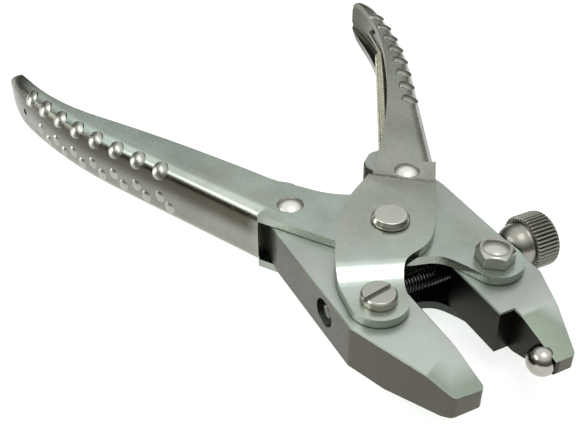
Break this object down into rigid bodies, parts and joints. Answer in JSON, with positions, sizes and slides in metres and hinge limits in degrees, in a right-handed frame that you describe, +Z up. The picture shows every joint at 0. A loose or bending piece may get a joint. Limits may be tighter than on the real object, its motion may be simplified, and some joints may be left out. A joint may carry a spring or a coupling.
{
  "type": "instrument repair pliers",
  "caption": "Parallel-action pliers of folded sheet steel with a forming ball on one nose, a flat anvil nose opposite, a thumb screw across the jaws and a return spring.",
  "frame": {"origin": "on the main pivot's axis, in the plane of the pivot rivet's lower head, on which the pliers lie", "axes": "+X towards the noses, +Y towards the jaw with the ball, +Z up along the pivots"},
  "size_m": [0.151, 0.1104, 0.0214],
  "materials": {
    "plated_sheet": "satin nickel-plated sheet steel with fine scratches",
    "plated_jaw": "satin nickel-plated ground steel",
    "bright_rivet": "polished nickel",
    "bright_screw": "bright nickel",
    "turned_steel": "turned steel",
    "spring_wire": "drawn spring wire",
    "black_thread": "black oxide on a cut thread",
    "knurled_steel": "bright turned and knurled steel",
    "polished_ball": "polished hardened steel"
  },
  "bodies": {
    "left_handle": {"left_handle": "plated_sheet", "centre_pivot_rivet": "bright_rivet", "centre_spacer_sleeve": "turned_steel", "left_rear_rivet": "bright_rivet", "right_jaw_screw": "bright_screw", "right_jaw_nut": "bright_screw", "right_jaw_bush": "turned_steel"},
    "right_handle": {"right_handle": "plated_sheet", "left_jaw_screw": "bright_screw", "left_jaw_nut": "bright_screw", "left_jaw_bush": "turned_steel", "right_rear_rivet": "bright_rivet", "return_spring": "spring_wire"},
    "left_jaw": {"left_jaw": "plated_jaw"},
    "right_jaw": {"right_jaw": "plated_jaw", "forming_ball": "polished_ball", "ball_stud": "turned_steel", "spring_tail_pin": "turned_steel"},
    "thumb_screw_rod": {"thumb_screw_rod": "black_thread"},
    "thumb_screw_head": {"thumb_screw_head": "knurled_steel"}
  },
  "joints": [
    {"name": "handle_pivot", "type": "hinge", "parent": "left_handle", "child": "right_handle", "pos_m": [0, 0, 0.0107], "axis": [0, 0, 1], "range_deg": [0, 33], "stiffness_Nm_per_rad": 0.3, "springref_deg": -22.92},
    {"name": "left_jaw_pivot", "type": "hinge", "parent": "right_handle", "child": "left_jaw", "pos_m": [0.01778, -0.0133, 0.0107], "axis": [0, 0, 1], "range_deg": [-16.6, 0.1]},
    {"name": "right_jaw_pivot", "type": "hinge", "parent": "left_handle", "child": "right_jaw", "pos_m": [0.01778, 0.0133, 0.0107], "axis": [0, 0, 1], "range_deg": [-0.1, 16.6]},
    {"name": "thumb_screw_travel", "type": "slide", "parent": "left_jaw", "child": "thumb_screw_rod", "axis": [0, 1, 0], "range_m": [0, 0.0056]},
    {"name": "thumb_screw_turn", "type": "hinge", "parent": "thumb_screw_rod", "child": "thumb_screw_head", "pos_m": [0.01049, 0.0293, 0.0114], "axis": [0, 1, 0], "range_deg": [-1, 2881]}
  ],
  "couplings": [
    {"joint": "left_jaw_pivot", "follows": "handle_pivot", "ratio": -0.5},
    {"joint": "right_jaw_pivot", "follows": "handle_pivot", "ratio": 0.5},
    {"joint": "thumb_screw_turn", "follows": "thumb_screw_travel", "rad_per_m": 8976}
  ]
}
